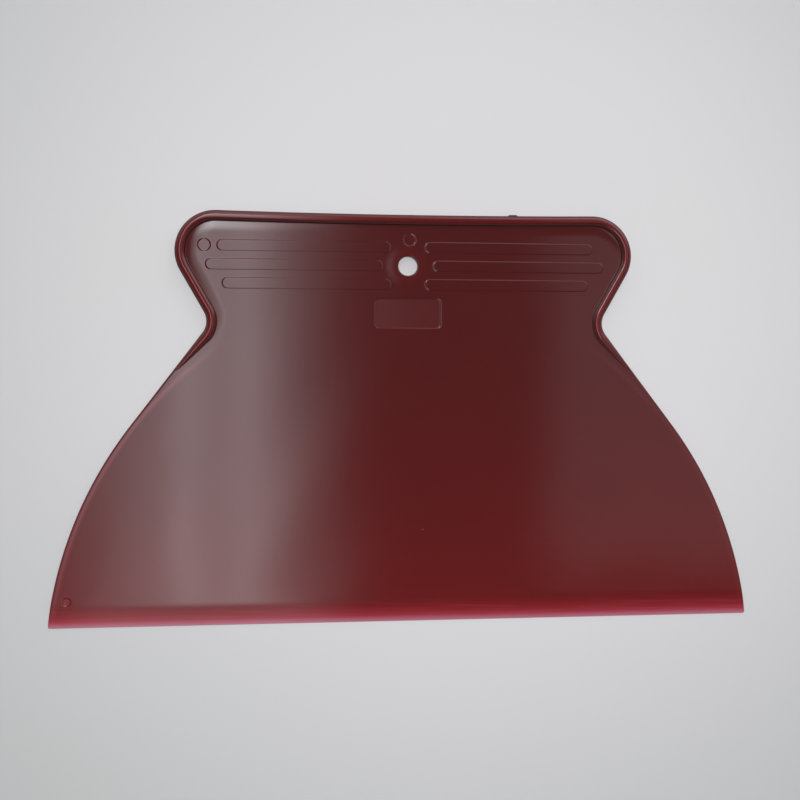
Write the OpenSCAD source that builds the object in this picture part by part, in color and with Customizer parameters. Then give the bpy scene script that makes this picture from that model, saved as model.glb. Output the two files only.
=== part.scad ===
// Hand scraper moulded in one piece from flexible burgundy plastic.
// It lies on its back on a table, as it is laid down after use. The origin is the middle of
// the scraping edge, where that edge meets the table. X runs along the edge, Y towards the
// grip and Z up out of the front face.

/* [Outline] */
// Length of the scraping edge
edge_w = 280; // [230:1:320]
// Height from the scraping edge to the top of the ears
body_h = 163; // [140:1:200]
// Width over the two rounded ears of the grip
handle_w = 183; // [160:1:215]
// Radius of each ear
ear_r = 16; // [12:0.5:19]
// How far the grip's top edge dips between the ears
top_dip = 0.7; // [0.3:0.1:3]
// Width at the waist, the narrowest place
waist_w = 158.6; // [130:0.2:176]
// Distance from the level of the ears' centres down to the waist
waist_drop = 27.6; // [23:0.2:45]
// Radius of the hollow at each side of the waist
waist_r = 7.5; // [4:0.5:12]
// Extra outward lean of the side below the waist, in degrees
flare_lean = 10.3; // [5:0.1:16]
// Radius of the bowed lower part of each side
flare_r = 158; // [120:1:220]

/* [Web] */
// Thickness of the web at the top of the grip
web_t = 2.2; // [1.6:0.1:3]
// Thickness of the blade where the lip begins
blade_t = 1.3; // [0.8:0.1:1.8]
// Height of the thin see-through lip, which is bevelled from the front
lip_h = 8; // [4:0.5:14]
// Thickness at the scraping edge
lip_t = 0.4; // [0.2:0.05:0.7]

/* [Rim bead] */
// Diameter of the round bead that edges the grip
bead_d = 4.4; // [3.4:0.1:6]
// Length over which the bead runs out below the waist
bead_run = 18.5; // [12:0.5:26]

/* [Hanging hole] */
// Diameter of the hanging hole
hole_d = 7.6; // [4:0.2:12]
// Distance from the top of the ears down to the hole's centre
hole_drop = 21.2; // [16:0.2:28]
// Chamfer round both mouths of the hole
hole_chamfer = 0.5; // [0.2:0.1:0.7]
// Width of the flat top of the swelling round the hole
swell_top_d = 10; // [9.5:0.5:14]
// Width of the foot of that swelling
swell_foot_d = 19; // [15:0.5:20]
// Height of the swelling on each face
swell_rise = 0.15; // [0.1:0.05:0.4]

/* [Grip ribs] */
// Width of each rib
rib_w = 4.2; // [3:0.1:5]
// Height of the ribs above the web
rib_rise = 0.15; // [0.1:0.05:0.6]
// Distance from one row of ribs to the next
rib_pitch = 7.4; // [6:0.1:9]
// Distance from the middle of the part to the far end of the top ribs
rib_top_reach = 75; // [55:0.5:76]
// Distance to the far end of the middle ribs, which are the longest
rib_mid_reach = 79.4; // [55:0.2:82]
// Distance to the far end of the bottom ribs
rib_low_reach = 73; // [50:0.5:76]
// Radius about the hole that the near ends of the ribs keep clear
rib_clear_r = 10.1; // [9.6:0.1:20]

/* [Label place] */
// Width of the bare sunk place for a label
label_w = 26.4; // [16:0.2:50]
// Height of that place
label_h = 11.8; // [6:0.2:14]
// Radius of its corners
label_r = 1.8; // [0.5:0.1:2.8]
// Depth of that place
label_sink = 0.2; // [0.1:0.05:0.4]
// Distance from the hole's centre down to the middle of the label place
label_drop = 18.9; // [17:0.1:30]

/* [Moulding marks] */
// Diameter of the round marks that the ejector pins left
pin_d = 4.9; // [3:0.1:6]
// Depth of those marks
pin_sink = 0.15; // [0.05:0.05:0.3]
// Distance from the middle of the part to the mark in the left ear
pin_reach = 80; // [79.6:0.1:82]
// Distance from the hole's centre up to the middle mark
pin_rise = 10.4; // [9:0.1:13]
// Diameter of the small mark in the blade's lower left corner
corner_pin_d = 3; // [2:0.1:4]
// Distance of that mark from the left end of the scraping edge
corner_pin_in = 7.5; // [5:0.1:12]
// Height of that mark above the scraping edge
corner_pin_up = 10.3; // [10:0.1:20]
// Distance of the gate stub from the middle of the part
gate_reach = 42.6; // [5:0.1:60]
// Width of the gate stub on the top edge
gate_w = 3.5; // [2:0.1:6]
// How far the gate stub stands out of the bead
gate_stub = 0.5; // [0.3:0.1:1.5]
// Thickness of the gate stub
gate_t = 1.6; // [0.8:0.1:2.4]

/* [Hidden] */

burgundy = [0.42, 0.09, 0.11];
ARC_FN = 96;
// the bowed sides are wide circles, so they need more steps all round
WIDE_FN = 720;
// spare length of a cutting solid past the face it cuts
OVER = 1;

bead_r = bead_d / 2;
// the bead is built in lengths, every other one a hair thinner and lapped by its
// neighbours, so that no two end faces or skins coincide
lap = 0.1;
hair = 0.01;
thin_r = bead_r - hair;
// straight lengths that follow the dip of the top edge, an odd number so that both ends
// of the row are full ones
TOP_LENGTHS = 7;
// where the bead runs out it ends this much thinner than half the blade, just below the
// blade's side, and the blade laps back under it
run_thin = 0.05;
run_below = 0.02;
run_lap = 0.3;

// centre of the right ear and of the hollow at the waist
ear_c = [handle_w / 2 - ear_r, body_h - ear_r];
waist_c = [waist_w / 2 + waist_r, ear_c.y - waist_drop];

// wide circle of the top edge, which touches both ears from above
top_r = (pow(ear_c.x, 2) + pow(top_dip, 2)) / (2 * top_dip);
top_c = [0, ear_c.y + sqrt(pow(top_r + ear_r, 2) - pow(ear_c.x, 2))];
top_turn = atan2(ear_c.x, top_c.y - ear_c.y);

// a point of the bead's centre line along the top edge, by its turn about the wide circle
function top_point(turn) = top_c + (top_r + bead_r) * [sin(turn), -cos(turn)];

// straight shoulder between ear and waist, by the direction that it faces
shoulder_v = waist_c - ear_c;
shoulder_a = atan2(shoulder_v.y, shoulder_v.x) + acos((ear_r + waist_r) / norm(shoulder_v));
shoulder_n = [cos(shoulder_a), sin(shoulder_a)];

// straight side below the waist, by the direction that it faces and the way it runs
corner = [edge_w / 2, 0];
flare_a = atan2(corner.x - waist_w / 2, waist_c.y) + flare_lean;
flare_n = [cos(flare_a), sin(flare_a)];
flare_u = [sin(flare_a), -cos(flare_a)];
flare_top = waist_c - waist_r * flare_n;

// bowed part of the side, tangent to the straight part and ending in the corner
bow_q = flare_top - flare_r * flare_n - corner;
bow_run = -bow_q * flare_u - sqrt(pow(bow_q * flare_u, 2) - bow_q * bow_q + pow(flare_r, 2));
bow_top = flare_top + bow_run * flare_u;
bow_c = bow_top - flare_r * flare_n;
bow_a = atan2(-bow_c.y, corner.x - bow_c.x);
// meeting point of the tangents at the two ends of the bow
bow_tip = bow_c + flare_r / cos((flare_a - bow_a) / 2)
    * [cos((flare_a + bow_a) / 2), sin((flare_a + bow_a) / 2)];

// half the web's thickness at a height above the scraping edge
function web_half(y) =
    (blade_t + (web_t - blade_t) * (y - lip_h) / (body_h - lip_h)) / 2;

// the bead runs out from the waist to the point where it sinks into the blade
run_end = flare_top + bead_run * flare_u;
run_r = web_half(run_end.y) - run_thin;
run_sink = run_end - (run_r + run_below) * flare_n;

hole_c = [0, body_h - hole_drop];
label_c = [0, hole_c.y - label_drop];

// the part rests on its scraping edge and on the bead at the waist, which tips the grip up
// a little
prop = waist_c - (waist_r + bead_r) * flare_n;
rest_a = asin(bead_r / norm([prop.y, blade_t / 2])) - atan2(blade_t / 2, prop.y);

// a round rod in the XY plane that laps over both of the points it joins
module rod(from, to, from_r, to_r, to_lap = lap) {
    v = to - from;
    draft = (to_r - from_r) / norm(v);
    translate([from.x, from.y, 0])
        rotate([0, 90, atan2(v.y, v.x)])
            translate([0, 0, -lap])
                cylinder(h = lap + norm(v) + to_lap, r1 = from_r - lap * draft,
                    r2 = to_r + to_lap * draft, $fn = ARC_FN);
}

// a round rod bent along an arc, between two directions seen from the arc's centre
module bent_rod(centre, major, minor, from_a, to_a) {
    translate([centre.x, centre.y, 0])
        rotate([0, 0, from_a])
            rotate_extrude(angle = to_a - from_a, $fn = ARC_FN)
                translate([major, 0])
                    circle(r = minor, $fn = ARC_FN);
}

// right half of the web: under the bead it stops at the bead's centre line
module half_outline() {
    difference() {
        union() {
            polygon([
                [0, 0],
                corner,
                bow_top,
                run_end - run_lap * flare_u,
                run_sink - run_lap * flare_u,
                prop,
                waist_c - (waist_r + bead_r) * shoulder_n,
                ear_c + (ear_r - bead_r) * shoulder_n,
                ear_c,
                [0, ear_c.y]
            ]);
            // bowed lower side
            intersection() {
                translate(bow_c)
                    circle(r = flare_r, $fn = WIDE_FN);
                polygon([corner, bow_tip, bow_top]);
            }
            // ear, and the band up to the middle of the bead along the top edge
            translate(ear_c)
                circle(r = ear_r - bead_r, $fn = ARC_FN);
            square([ear_c.x, top_point(0).y]);
        }
        translate(waist_c)
            circle(r = waist_r + bead_r, $fn = ARC_FN);
    }
}

// the web with its lip: the outline cut to a wedge that thins towards the scraping edge.
// The back runs on flat under the lip
module web() {
    intersection() {
        translate([0, 0, -web_t])
            linear_extrude(2 * web_t)
                for (side = [0, 1])
                    mirror([side, 0])
                        half_outline();
        rotate([90, 0, 90])
            translate([0, 0, -edge_w])
                linear_extrude(2 * edge_w)
                    polygon([
                        [0, -blade_t / 2],
                        [lip_h, -blade_t / 2],
                        [body_h, -web_t / 2],
                        [body_h, web_t / 2],
                        [lip_h, blade_t / 2],
                        [0, lip_t - blade_t / 2]
                    ]);
    }
}

// bead of the right ear, shoulder and waist, and its run-out on the side
module half_bead() {
    bent_rod(ear_c, ear_r - bead_r, thin_r, shoulder_a, 90 + top_turn);
    rod(ear_c + (ear_r - bead_r) * shoulder_n, waist_c - (waist_r + bead_r) * shoulder_n,
        bead_r, bead_r);
    bent_rod(waist_c, waist_r + bead_r, thin_r, 180 + shoulder_a, 180 + flare_a);
    rod(prop, run_sink, bead_r, run_r, 0);
}

module rim_bead() {
    step = 2 * top_turn / TOP_LENGTHS;
    for (i = [0 : TOP_LENGTHS - 1]) {
        r = i % 2 == 0 ? bead_r : thin_r;
        rod(top_point(i * step - top_turn), top_point((i + 1) * step - top_turn), r, r);
    }
    for (side = [0, 1])
        mirror([side, 0, 0])
            half_bead();
}

// a flat bar with round ends, standing on the web's middle plane
module slot_bar(near, far, y, width, top) {
    linear_extrude(top) {
        translate([near + width / 2, y - width / 2])
            square([far - near - width, width]);
        for (x = [near + width / 2, far - width / 2])
            translate([x, y])
                circle(d = width, $fn = ARC_FN);
    }
}

// three raised ribs on each side of the hole, cut back so that they keep clear of it
module grip_ribs() {
    reach = [rib_top_reach, rib_mid_reach, rib_low_reach];
    for (side = [0, 1], row = [0 : len(reach) - 1]) {
        rise = (1 - row) * rib_pitch;
        near = sqrt(max(pow(rib_clear_r, 2) - pow(rise, 2), 0));
        y = hole_c.y + rise;
        mirror([side, 0, 0])
            slot_bar(near, reach[row], y, rib_w, web_half(y) + rib_rise);
    }
}

// low swelling that stiffens the web round the hanging hole, on both faces
module hole_swelling() {
    half_t = web_half(hole_c.y);
    for (face = [0, 1])
        translate([hole_c.x, hole_c.y, 0])
            mirror([0, 0, face])
                translate([0, 0, half_t])
                    cylinder(h = swell_rise, d1 = swell_foot_d, d2 = swell_top_d, $fn = ARC_FN);
}

module hanging_hole() {
    mouth = web_half(hole_c.y) + swell_rise;
    translate([hole_c.x, hole_c.y, -bead_d])
        cylinder(h = 2 * bead_d, d = hole_d, $fn = ARC_FN);
    for (face = [0, 1])
        translate([hole_c.x, hole_c.y, 0])
            mirror([0, 0, face])
                translate([0, 0, mouth - hole_chamfer])
                    cylinder(h = hole_chamfer + OVER, r1 = hole_d / 2,
                        r2 = hole_d / 2 + hole_chamfer + OVER, $fn = ARC_FN);
}

// sunk place for a label, left bare
module label_place() {
    floor_z = web_half(label_c.y) - label_sink;
    translate([label_c.x, label_c.y, floor_z])
        linear_extrude(label_sink + OVER) {
            square([label_w - 2 * label_r, label_h], center = true);
            square([label_w, label_h - 2 * label_r], center = true);
            for (x = [-1, 1], y = [-1, 1])
                translate([x * (label_w / 2 - label_r), y * (label_h / 2 - label_r)])
                    circle(r = label_r, $fn = ARC_FN);
        }
}

// shallow round marks of the ejector pins
module pin_mark(x, y, width) {
    translate([x, y, web_half(y) - pin_sink])
        cylinder(h = pin_sink + OVER, d = width, $fn = ARC_FN);
}

module pin_marks() {
    pin_mark(0, hole_c.y + pin_rise, pin_d);
    pin_mark(-pin_reach, hole_c.y + rib_pitch, pin_d);
    pin_mark(corner_pin_in - edge_w / 2, corner_pin_up, corner_pin_d);
}

// stub that was left on the top edge where the plastic flowed in
module gate_stub_nub() {
    edge_y = top_c.y - sqrt(pow(top_r, 2) - pow(gate_reach, 2));
    translate([gate_reach - gate_w / 2, edge_y - bead_r, -gate_t / 2])
        cube([gate_w, bead_r + gate_stub, gate_t]);
}

module scraper_body() {
    color(burgundy)
        translate([0, 0, blade_t / 2 * cos(rest_a)])
            rotate([rest_a, 0, 0])
                difference() {
                    union() {
                        web();
                        rim_bead();
                        grip_ribs();
                        hole_swelling();
                        gate_stub_nub();
                    }
                    hanging_hole();
                    label_place();
                    pin_marks();
                }
}

scraper_body();
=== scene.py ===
# %% [markdown]
# # A burgundy scraper, moulded in one piece
#
# The real tool is one shot of flexible plastic: a broad blade that thins to a see-through lip,
# a waist, and a grip with two ears, a round bead along its rim, finger ribs and a hanging hole.
# There is nothing to assemble, so this lesson is about building one clean skin with fine detail,
# and about a plastic whose colour depends on how thick it is.
#
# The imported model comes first. It is the fixed frame: everything below goes where it says.

# %% Load the frame
import math

import bmesh
import bpy
import numpy as np
from mathutils import Matrix, Vector
from mathutils.geometry import delaunay_2d_cdt


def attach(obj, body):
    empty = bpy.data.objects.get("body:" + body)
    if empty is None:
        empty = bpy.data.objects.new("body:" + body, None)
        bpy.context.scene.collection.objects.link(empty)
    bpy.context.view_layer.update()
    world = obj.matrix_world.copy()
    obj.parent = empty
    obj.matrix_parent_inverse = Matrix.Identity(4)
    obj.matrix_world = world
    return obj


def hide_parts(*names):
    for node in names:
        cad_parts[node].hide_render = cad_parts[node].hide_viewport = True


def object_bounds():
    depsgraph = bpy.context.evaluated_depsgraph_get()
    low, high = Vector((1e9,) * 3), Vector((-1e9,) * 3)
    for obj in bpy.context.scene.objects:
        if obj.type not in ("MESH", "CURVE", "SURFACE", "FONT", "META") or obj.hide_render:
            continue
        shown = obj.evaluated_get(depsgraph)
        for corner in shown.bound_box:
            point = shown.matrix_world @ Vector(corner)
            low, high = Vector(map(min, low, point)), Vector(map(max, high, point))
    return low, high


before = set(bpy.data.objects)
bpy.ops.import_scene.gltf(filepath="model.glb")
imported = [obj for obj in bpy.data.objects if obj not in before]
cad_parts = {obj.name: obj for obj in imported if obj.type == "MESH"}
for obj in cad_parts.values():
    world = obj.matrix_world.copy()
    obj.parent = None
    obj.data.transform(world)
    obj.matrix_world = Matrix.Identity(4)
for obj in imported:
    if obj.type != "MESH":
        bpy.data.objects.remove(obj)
cad_low, cad_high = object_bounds()
print("the frame's box in mm:", [round(1000 * s, 1) for s in cad_high - cad_low])

# %% [markdown]
# ## The maker's drawing
#
# A mould is cut from a drawing in millimetres, so the drawing's numbers stay in millimetres here
# and the finished skin is scaled to metres once, at the end. The edge's length is read from the
# frame. The rest are the sizes that give this tool its shape, the same as in the solid model.
# Only the small rounds are the skin's own: at the lower corners, along the foot of the bead and
# at the mouths of the hole.

# %% Sizes, in millimetres
MM = 0.001

edge_w = (cad_high.x - cad_low.x) / MM
body_h = 163.0
handle_w = 183.0
ear_r = 16.0
top_dip = 0.7
waist_w = 158.6
waist_drop = 27.6
waist_r = 7.5
flare_lean = math.radians(10.3)
flare_r = 158.0

web_t = 2.2
blade_t = 1.3
lip_h = 8.0
lip_t = 0.4
corner_r = 0.7

bead_r = 2.2
bead_run = 18.5
foot_r = 0.3

hole_r = 3.8
hole_drop = 21.2
hole_round = 0.55
swell_top_r = 5.0
swell_foot_r = 9.5
swell_rise = 0.15

rib_w = 4.2
rib_rise = 0.15
rib_pitch = 7.4
rib_reach = (75.0, 79.4, 73.0)
rib_clear_r = 10.1

label_w = 26.4
label_h = 11.8
label_r = 1.8
label_sink = 0.2
label_drop = 18.9

pin_r = 2.45
pin_sink = 0.15
pin_reach = 80.0
pin_rise = 10.4
corner_pin_r = 1.5
corner_pin_in = 7.5
corner_pin_up = 10.3

gate_reach = 42.6
gate_w = 3.5
gate_stub = 0.5
gate_t = 1.6

print("scraping edge", round(edge_w, 2), "mm")

# %% [markdown]
# ## The outline
#
# The outline is a chain of arcs and straight lines that run into each other without a kink, as
# a toolmaker draws it. Each place where one piece hands over to the next is worked out from the
# sizes: two circles that touch, or a line that touches both. For every point the chain also
# keeps the direction that the edge faces, because the rim is built along that direction.

# %% Tangent points of the outline


def facing(angle):
    """The unit vector in the plane of the web that points at an angle."""
    return np.array([math.cos(angle), math.sin(angle)])


ear_c = np.array([handle_w / 2 - ear_r, body_h - ear_r])
waist_c = np.array([waist_w / 2 + waist_r, ear_c[1] - waist_drop])

top_r = (ear_c[0] ** 2 + top_dip**2) / (2 * top_dip)
top_c = np.array([0, ear_c[1] + math.sqrt((top_r + ear_r) ** 2 - ear_c[0] ** 2)])
top_turn = math.atan2(ear_c[0], top_c[1] - ear_c[1])

shoulder_v = waist_c - ear_c
shoulder_a = math.atan2(shoulder_v[1], shoulder_v[0]) + math.acos(
    (ear_r + waist_r) / np.linalg.norm(shoulder_v)
)
shoulder_n = facing(shoulder_a)

corner = np.array([edge_w / 2, 0])
flare_a = math.atan2(corner[0] - waist_w / 2, waist_c[1]) + flare_lean
flare_n = facing(flare_a)
flare_u = np.array([flare_n[1], -flare_n[0]])
flare_top = waist_c - waist_r * flare_n

bow_q = flare_top - flare_r * flare_n - corner
bow_run = -bow_q @ flare_u - math.sqrt((bow_q @ flare_u) ** 2 - bow_q @ bow_q + flare_r**2)
bow_top = flare_top + bow_run * flare_u
bow_c = bow_top - flare_r * flare_n

# the small round of the lower corner touches the bow and the scraping edge from inside
corner_c = np.array([0, corner_r])
corner_c[0] = bow_c[0] + math.sqrt((flare_r - corner_r) ** 2 - (corner_r - bow_c[1]) ** 2)
corner_a = math.atan2(*(corner_c - bow_c)[::-1])

run_end = flare_top + bead_run * flare_u
hole_c = np.array([0, body_h - hole_drop])
label_c = np.array([0, hole_c[1] - label_drop])
print("waist at", np.round(waist_c, 1), "bow meets the straight side at", np.round(bow_top, 1))

# %% [markdown]
# ## Walking along the outline
#
# Small helpers lay points on an arc, on a line and along the top edge. The right side is laid
# from the lower corner up to the middle of the top edge, and its mirror image run backwards
# gives the left side. Points lie closer together where the outline turns tightly, where the
# bead runs out, and at the stub on the top edge, where the plastic was cut off after it had
# flowed into the mould.

# %% Helpers that lay points
TURN_STEP = 1.0
LINE_STEP = 2.4
CORNER_STEP = 0.2
WAIST_STEP = 0.5
SHOULDER_STEP = 1.5
STUB_STEP = 0.25
STUB_MARGIN = 1.5


def arc(centre, radius, start, end, step=TURN_STEP, hollow=False):
    """Three or more points on an arc, and how its edge faces. A hollow arc faces its centre."""
    count = math.ceil(abs(end - start) * radius / step) + 1
    out = np.stack([facing(a) for a in np.linspace(start, end, max(count, 3))])
    return centre + radius * out, -out if hollow else out


def line(start, end, facing_to, step=LINE_STEP):
    """Points on a straight line, and the way its edge faces."""
    count = math.ceil(np.linalg.norm(end - start) / step) + 1
    return np.linspace(start, end, count), np.tile(facing_to, (count, 1))


def top_arc():
    """The wide dip of the top edge, with points close together on both sides of the stub."""
    near = (gate_reach + np.array([-1, 1]) * (gate_w / 2 + STUB_MARGIN)) / top_r
    turns = np.concatenate([
        np.arange(top_turn, near[1], -LINE_STEP / top_r),
        np.arange(near[1], near[0], -STUB_STEP / top_r),
        np.linspace(near[0], 0, round(near[0] * top_r / LINE_STEP)),
    ])
    down = np.stack([np.sin(turns), -np.cos(turns)], axis=1)
    return top_c + top_r * down, -down


print("a point every", TURN_STEP, "mm in turns and every", LINE_STEP, "mm on long lines")

# %% Points along the outline
right_side = [
    arc(corner_c, corner_r, -math.pi / 2, corner_a, CORNER_STEP),
    arc(bow_c, flare_r, corner_a, flare_a, LINE_STEP),
    line(bow_top, flare_top, flare_n, TURN_STEP),
    arc(waist_c, waist_r, math.pi + flare_a, math.pi + shoulder_a, WAIST_STEP, hollow=True),
    line(waist_c - waist_r * shoulder_n, ear_c + ear_r * shoulder_n, shoulder_n, SHOULDER_STEP),
    arc(ear_c, ear_r, shoulder_a, math.pi / 2 + top_turn),
    top_arc(),
]
side_p = np.concatenate([p[1:] if i else p for i, (p, n) in enumerate(right_side)])
side_n = np.concatenate([n[1:] if i else n for i, (p, n) in enumerate(right_side)])
mirror = np.array([-1, 1])
foot_p, foot_n = line(side_p[0] * mirror, side_p[0], np.array([0.0, -1.0]))

edge_p = np.concatenate([side_p, (side_p * mirror)[-2::-1], foot_p[1:-1]])
edge_n = np.concatenate([side_n, (side_n * mirror)[-2::-1], foot_n[1:-1]])
print(len(edge_p), "points along the outline")

# %% [markdown]
# ## How thick the plastic is
#
# The web thins evenly from the top of the grip down to the lip, and the lip is bevelled from
# the front. On this sheet stand the raised and sunk details. Each of them is described by its
# signed distance: how far a point lies outside its border, with a minus sign inside. One soft
# step turns any such distance into a raised or sunk field with rounded shoulders, so a rib, a
# round mark and the label place all use the same few lines.

# %% Half the web's thickness, and soft steps
BEVEL_EASE = 1.9


def web_half(y):
    """Half the thickness of the web at a height above the scraping edge, without its bevel."""
    slope = (web_t - blade_t) / (body_h - lip_h)
    return (blade_t + slope * (np.maximum(y, lip_h) - lip_h)) / 2


def soft_step(distance, reach):
    """1 well inside a border and 0 well outside it, rounded over reach on both sides."""
    t = np.clip((reach - distance) / (2 * reach), 0, 1)
    return t * t * (3 - 2 * t)


def bevel(y):
    """How far the front of the lip lies below the blade's front, its upper end rounded off."""
    slope = (blade_t - lip_t) / lip_h
    t = np.clip((lip_h + BEVEL_EASE - y) / (2 * BEVEL_EASE), 0, 1)
    rounded = slope * BEVEL_EASE * t * t
    return np.where(y < lip_h - BEVEL_EASE, slope * (lip_h - y), rounded)


print("bevel at the edge", round(float(bevel(np.array(0.0))), 2), "mm")

# %% Signed distances of the details


def from_bar(x, y, near, far, level, width):
    """Distance from a flat bar with round ends that lies along X."""
    inner = np.clip(x, near + width / 2, far - width / 2)
    return np.hypot(x - inner, y - level) - width / 2


def from_disc(x, y, centre, radius):
    """Distance from a round border."""
    return np.hypot(x - centre[0], y - centre[1]) - radius


def from_plate(x, y, centre, width, height, radius):
    """Distance from a rectangle with rounded corners."""
    dx = np.abs(x - centre[0]) - width / 2 + radius
    dy = np.abs(y - centre[1]) - height / 2 + radius
    outside = np.hypot(np.maximum(dx, 0), np.maximum(dy, 0))
    return outside + np.minimum(np.maximum(dx, dy), 0) - radius


below_hole = from_plate(*hole_c, label_c, label_w, label_h, label_r)
print("the label place begins", round(float(below_hole), 2), "mm below the hole's centre")

# %% [markdown]
# ## The raised and sunk details
#
# For every detail this cell keeps where its border lies, and for every kind how softly the
# shoulder is rounded. The ribs are cut back near the hole, so their near ends follow a circle
# about it.

# %% List the details of the front face
RIB_SOFT = 0.34
MARK_SOFT = 0.34
LABEL_SOFT = 0.40
TOP_PIN_X = 0.7

ribs = []
for row, reach in enumerate(rib_reach):
    rise = (1 - row) * rib_pitch
    near = math.sqrt(max(rib_clear_r**2 - rise**2, 0))
    ribs.append((near, reach, hole_c[1] + rise))

marks = [
    ((TOP_PIN_X, hole_c[1] + pin_rise), pin_r),
    ((-pin_reach, hole_c[1] + rib_pitch), pin_r),
    ((corner_pin_in - edge_w / 2, corner_pin_up), corner_pin_r),
]
print(2 * len(ribs), "ribs and", len(marks), "round marks")

# %% [markdown]
# ## A sheet that isn't quite flat
#
# A moulding this wide and thin never comes out perfectly flat: it keeps a slow warp of a few
# hundredths of a millimetre. Nobody sees it in the outline, but a glossy face shows it at once,
# because reflections wander on it. A few long waves give that warp. It fades out at the rim, so
# that the bead stays true. Beside the bead of the grip the web also sinks a little, as thick
# and thin plastic don't shrink alike.

# %% The warp of the sheet, and the dip beside the bead
# each wave: how high in mm, its lengths along X and Y in mm, and where it starts
WARP = ((0.034, 118, 190, 0.6), (0.020, 71, -96, 2.1), (0.012, -47, 63, 4.0))
WARP_FADE = 16.0
FOOT_DIP = 0.34
WAIST_DIP = 0.35
FOOT_FROM = 4.1
FOOT_REACH = 5.0
BATCH = 2000


def edge_distance(x, y):
    """Distance of each point from the nearest point of the outline, worked out in batches."""
    flat = np.stack([x.ravel(), y.ravel()], axis=1)
    found = np.empty(len(flat))
    for start in range(0, len(flat), BATCH):
        part = flat[start : start + BATCH]
        apart = part[:, None] - edge_p
        found[start : start + BATCH] = np.sqrt((apart**2).sum(2).min(1))
    return found.reshape(x.shape)


def warp(x, y, inside):
    """The slow warp of the whole sheet, the same on both faces."""
    fade = np.clip(inside / WARP_FADE, 0, 1) ** 2
    waves = sum(
        size * np.sin(2 * math.pi * (x / long_x + y / long_y) + phase)
        for size, long_x, long_y, phase in WARP
    )
    return waves * fade


def beaded(y):
    """1 where the rim has its full bead, 0 below the run-out of the bead, by height."""
    return np.clip((y - run_end[1]) / (flare_top[1] - run_end[1]), 0, 1)


def foot_dip(y, inside):
    """The web sinks a little towards the bead, most at the ears and not at the plain sides."""
    depth = FOOT_DIP * np.interp(y, (run_end[1], waist_c[1], ear_c[1]), (0, WAIST_DIP, 1))
    return depth * np.clip(1 - (inside - FOOT_FROM) / FOOT_REACH, 0, 1) ** 2


print("the web dips", FOOT_DIP, "mm beside the bead of the ears")

# %% What stands up and what is sunk
DOME_RISE = 0.08
DOME_R = 20.0


def swelling(x, y):
    """The low swelling round the hanging hole, and the wide faint dome it stands on."""
    middle = (swell_top_r + swell_foot_r) / 2
    reach = (swell_foot_r - swell_top_r) / 2
    dome = np.clip(1 - ((x - hole_c[0]) ** 2 + (y - hole_c[1]) ** 2) / DOME_R**2, 0, 1)
    swell = soft_step(from_disc(x, y, hole_c, middle), reach)
    return (swell_rise - DOME_RISE / 2) * swell + DOME_RISE * dome**2


def raised(x, y):
    """How far the ribs stand up."""
    rise = np.zeros_like(x)
    for near, far, level in ribs:
        rise += rib_rise * soft_step(from_bar(np.abs(x), y, near, far, level, rib_w), RIB_SOFT)
    return rise


def sunk(x, y):
    """How far the round marks and the label place lie below the web."""
    label = from_plate(x, y, label_c, label_w, label_h, label_r)
    depth = label_sink * soft_step(label, LABEL_SOFT)
    for centre, radius in marks:
        depth += pin_sink * soft_step(from_disc(x, y, centre, radius), MARK_SOFT)
    return depth


print("ribs", rib_rise, "mm high, label place", label_sink, "mm deep")

# %% Heights of the two faces
SLOPE_SPAN = 0.01


def front_height(x, y):
    """Height of the front face above the middle plane."""
    inside = edge_distance(x, y)
    z = web_half(y) - bevel(y) + warp(x, y, inside) - foot_dip(y, inside) + swelling(x, y)
    return z + raised(x, y) - sunk(x, y)


def back_height(x, y):
    """Depth of the back face below the middle plane."""
    inside = edge_distance(x, y)
    return web_half(y) - warp(x, y, inside) - foot_dip(y, inside) + swelling(x, y)


def face_normals(height, x, y):
    """Normals of a face, from its height a hundredth of a millimetre to each side."""
    d = SLOPE_SPAN
    across = (height(x + d, y) - height(x - d, y)) / (2 * d)
    along = (height(x, y + d) - height(x, y - d)) / (2 * d)
    up = np.stack([-across, -along, np.ones_like(across)], axis=-1)
    return up / np.linalg.norm(up, axis=-1, keepdims=True)


print("web", 2 * web_half(body_h), "to", 2 * web_half(0), "mm, lip", lip_t, "mm")

# %% [markdown]
# ## The rim
#
# A bead could be a curve with a round bevel laid on the edge, but then it would cross the web
# in a hard line. On the moulding the bead flows into the web through a small hollow fillet. So
# the rim is lofted: at each point of the outline one cross-section goes from the front face over
# the edge to the back. It is an arc of the fillet that touches both the web and the bead, then
# the arc of the bead, and the fillet again behind. Below the waist the bead's radius shrinks
# until it equals half the blade, and the same section becomes a plain rounded edge.

# %% Sizes of the cross-section at each point of the outline
edge_y = edge_p[:, 1]
edge_mid = -bevel(edge_y) / 2
thin_half = web_half(edge_y) + edge_mid
full = beaded(edge_y)
edge_r = thin_half + (bead_r - thin_half) * full
web_h = thin_half - foot_dip(edge_y, 0.0)
print("rim radius from", round(edge_r.max(), 2), "to", round(edge_r.min(), 2), "mm")

# %% [markdown]
# The section's points are worked out for all outline points at once, one row of the loft after
# the other. For a bead of radius r on a web of half thickness h, the fillet of radius f touches
# both when its centre lies f above the web and r + f away from the bead's centre. Where the
# bead has run out, r equals h and the fillet shrinks to nothing by itself.

# %% Loft the rim
FOOT_STEPS = 5
BEAD_STEPS = 11

reach_in = np.sqrt(np.maximum((edge_r + foot_r) ** 2 - (web_h + foot_r) ** 2, 0))
inner_in = edge_r + reach_in
foot_turn = np.arctan2(reach_in, web_h + foot_r)

rows = []
for t in np.linspace(0, 1, FOOT_STEPS):
    turn = foot_turn * t
    rows.append((inner_in - foot_r * np.sin(turn), web_h + foot_r * (1 - np.cos(turn)), -turn))
for t in np.linspace(1, 0, BEAD_STEPS)[1:]:
    turn = (math.pi / 2 + foot_turn) * t
    rows.append((edge_r * (1 - np.cos(turn)), edge_r * np.sin(turn), math.pi / 2 - turn))

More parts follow.
